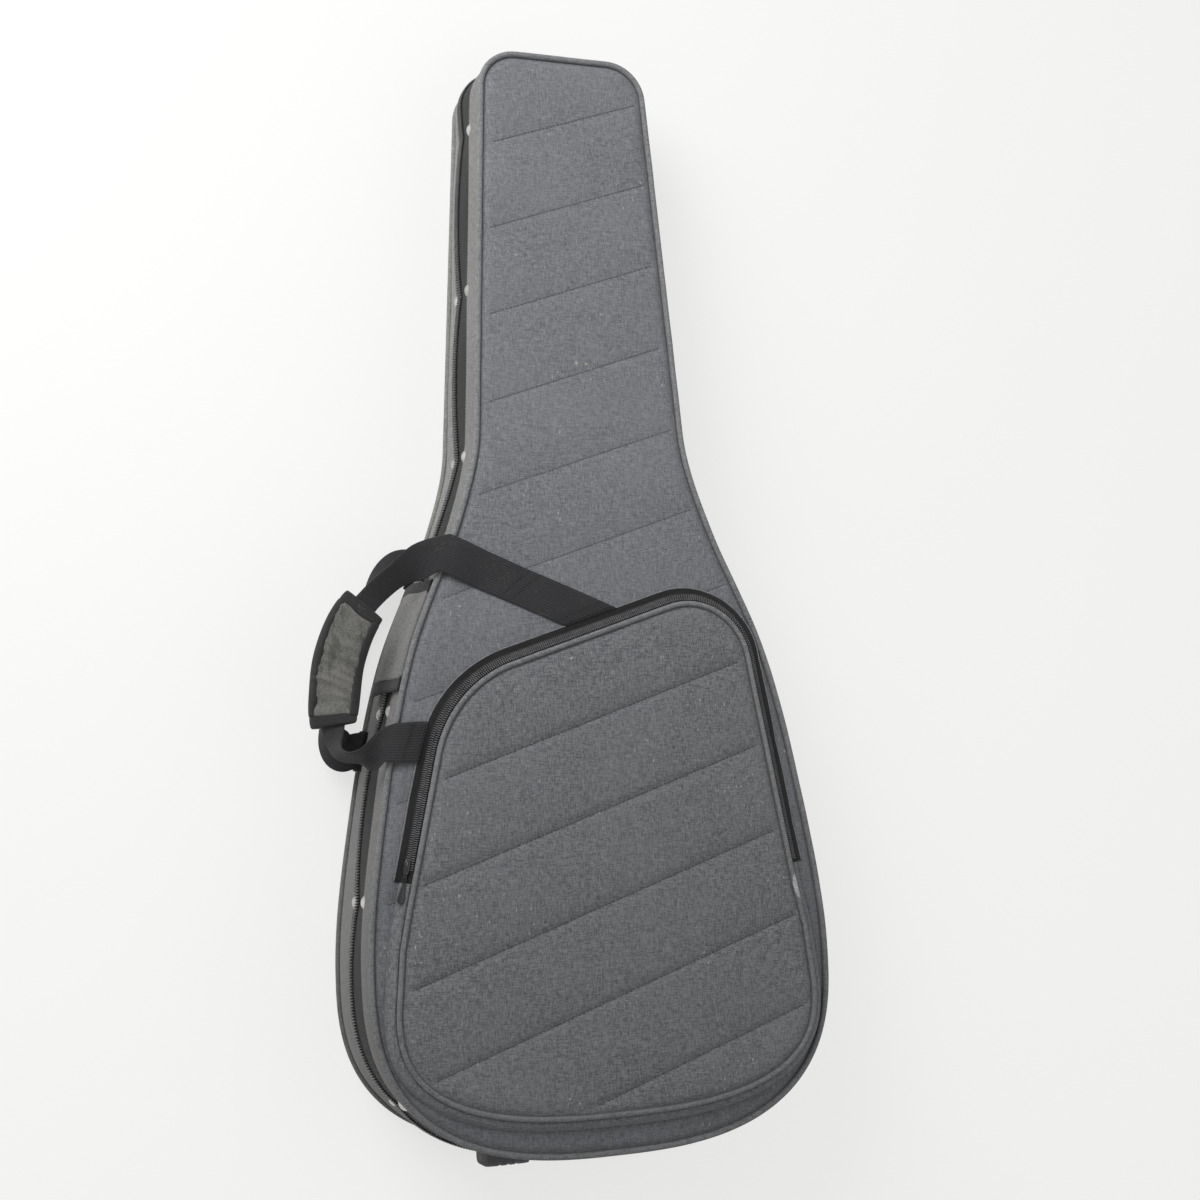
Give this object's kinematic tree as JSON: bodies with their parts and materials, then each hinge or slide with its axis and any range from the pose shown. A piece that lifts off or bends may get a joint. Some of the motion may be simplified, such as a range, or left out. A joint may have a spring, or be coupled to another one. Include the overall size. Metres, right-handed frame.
{
  "type": "padded gig bag",
  "caption": "Semi-rigid padded guitar case in quilted grey cloth: zipped foam base and lid, zipped front pocket, wrapped webbing handle and zip guard flap.",
  "frame": {"origin": "middle of the flat back panel, on its outer face, halfway along the case", "axes": "+X across the case towards the cloth hinge (the handle is on -X), +Y along the case towards the head end, +Z out of the back towards the lid"},
  "size_m": [0.5106, 1.1061, 0.1652],
  "materials": {
    "grey_cloth": "mid-grey melange woven polyester, quilted, matt",
    "grey_band": "mid-grey melange woven polyester, slightly warmer, matt",
    "grey_piping": "cloth-covered piping cord, matt",
    "foam": "closed-cell foam, matt",
    "plush": "short-pile plush lining",
    "zip_tape": "black woven zip tape",
    "zip_coil": "black nylon zip coil",
    "black_webbing": "black ribbed webbing",
    "grip_cloth": "worn grey cloth",
    "black_enamel": "gloss black enamel on zinc",
    "steel": "nickel-plated dome rivet",
    "foot_rubber": "matt dark grey rubber"
  },
  "bodies": {
    "base": {"base_back_panel": "grey_cloth", "base_foam_shell": "foam", "base_side_band": "grey_band", "base_piping": "grey_piping", "base_lining": "plush", "base_zip_tape": "zip_tape", "base_zip_coil": "zip_coil", "base_hinge_tape": "grey_band", "neck_cradle": "foam", "neck_strap": "black_webbing", "foot_left": "foot_rubber", "foot_right": "foot_rubber", "rear_anchor_upper": "black_webbing", "rear_anchor_lower": "black_webbing", "base_rivet_1": "steel", "base_rivet_2": "steel", "base_rivet_3": "steel", "base_rivet_4": "steel", "base_rivet_5": "steel"},
    "lid": {"lid_front_panel": "grey_cloth", "lid_foam_shell": "foam", "lid_side_band": "grey_band", "lid_piping": "grey_piping", "lid_lining": "plush", "lid_zip_tape": "zip_tape", "lid_zip_coil": "zip_coil", "lid_hinge_tape": "grey_band", "front_anchor_upper": "black_webbing", "front_anchor_lower": "black_webbing", "pocket_lower_panel": "grey_cloth", "pocket_lower_piping": "grey_piping", "pocket_gusset": "grey_cloth", "pocket_outer_tape": "zip_tape", "pocket_outer_coil": "zip_coil", "lid_rivet_1": "steel", "lid_rivet_2": "steel", "lid_rivet_3": "steel", "lid_rivet_4": "steel", "lid_rivet_5": "steel", "lid_rivet_6": "steel"},
    "pocket_flap": {"pocket_flap_panel": "grey_cloth", "pocket_flap_piping": "grey_piping", "pocket_inner_tape": "zip_tape", "pocket_inner_coil": "zip_coil"},
    "pocket_slider": {"pocket_slider": "black_enamel"},
    "pocket_pull": {"pocket_pull": "black_enamel"},
    "front_handle": {"front_handle_loop": "black_webbing", "grip_binding_upper": "black_webbing", "grip_pad": "grip_cloth", "grip_binding_lower": "black_webbing"},
    "rear_handle": {"rear_handle_loop": "black_webbing"},
    "guard_flap": {"guard_binding_lower": "black_webbing", "guard_flap_pad": "grey_band", "guard_binding_upper": "black_webbing"},
    "upper_slider": {"upper_slider": "black_enamel"},
    "upper_pull": {"upper_pull": "black_enamel"},
    "lower_slider": {"lower_slider": "black_enamel"},
    "lower_pull": {"lower_pull": "black_enamel"}
  },
  "joints": [
    {"name": "lid_hinge", "type": "hinge", "parent": "base", "child": "lid", "pos_m": [0.2315, -0.36046, 0.07664], "axis": [0, 0.9986, -0.0528], "range_deg": [0, 110]},
    {"name": "pocket_flap_fold", "type": "hinge", "parent": "lid", "child": "pocket_flap", "pos_m": [0, -0.27521, 0.15475], "axis": [1, 0, 0], "range_deg": [0, 75]},
    {"name": "pocket_slider_travel", "type": "slide", "parent": "lid", "child": "pocket_slider", "axis": [0.2295, 0.9719, -0.0514], "range_m": [0, 0.085]},
    {"name": "pocket_pull_swing", "type": "hinge", "parent": "pocket_slider", "child": "pocket_pull", "pos_m": [-0.19757, -0.26665, 0.14903], "axis": [-0.9733, 0.2292, -0.0121], "range_deg": [0, 80]},
    {"name": "front_handle_swing", "type": "hinge", "parent": "lid", "child": "front_handle", "pos_m": [-0.176, -0.05547, 0.13241], "axis": [0.3121, 0.9487, -0.0502], "range_deg": [0, 95]},
    {"name": "rear_handle_swing", "type": "hinge", "parent": "base", "child": "rear_handle", "pos_m": [-0.17963, -0.05993, 0.02776], "axis": [0.3116, 0.9502, 0], "range_deg": [0, 22]},
    {"name": "guard_flap_lift", "type": "hinge", "parent": "lid", "child": "guard_flap", "pos_m": [-0.17606, -0.04323, 0.12315], "axis": [0.3315, 0.9421, -0.0498], "range_deg": [0, 48]},
    {"name": "upper_slider_travel", "type": "slide", "parent": "base", "child": "upper_slider", "axis": [0.349, 0.9358, -0.0495], "range_m": [0, 0.02]},
    {"name": "upper_pull_swing", "type": "hinge", "parent": "upper_slider", "child": "upper_pull", "pos_m": [-0.16721, -0.0347, 0.05391], "axis": [-0.9371, 0.3485, -0.0184], "range_deg": [-15, 15]},
    {"name": "lower_slider_travel", "type": "slide", "parent": "base", "child": "lower_slider", "axis": [-0.314, -0.9481, 0.0501], "range_m": [0, 0.02]},
    {"name": "lower_pull_swing", "type": "hinge", "parent": "lower_slider", "child": "lower_pull", "pos_m": [-0.17736, -0.06166, 0.05533], "axis": [-0.9494, 0.3135, -0.0166], "range_deg": [-15, 15]}
  ]
}
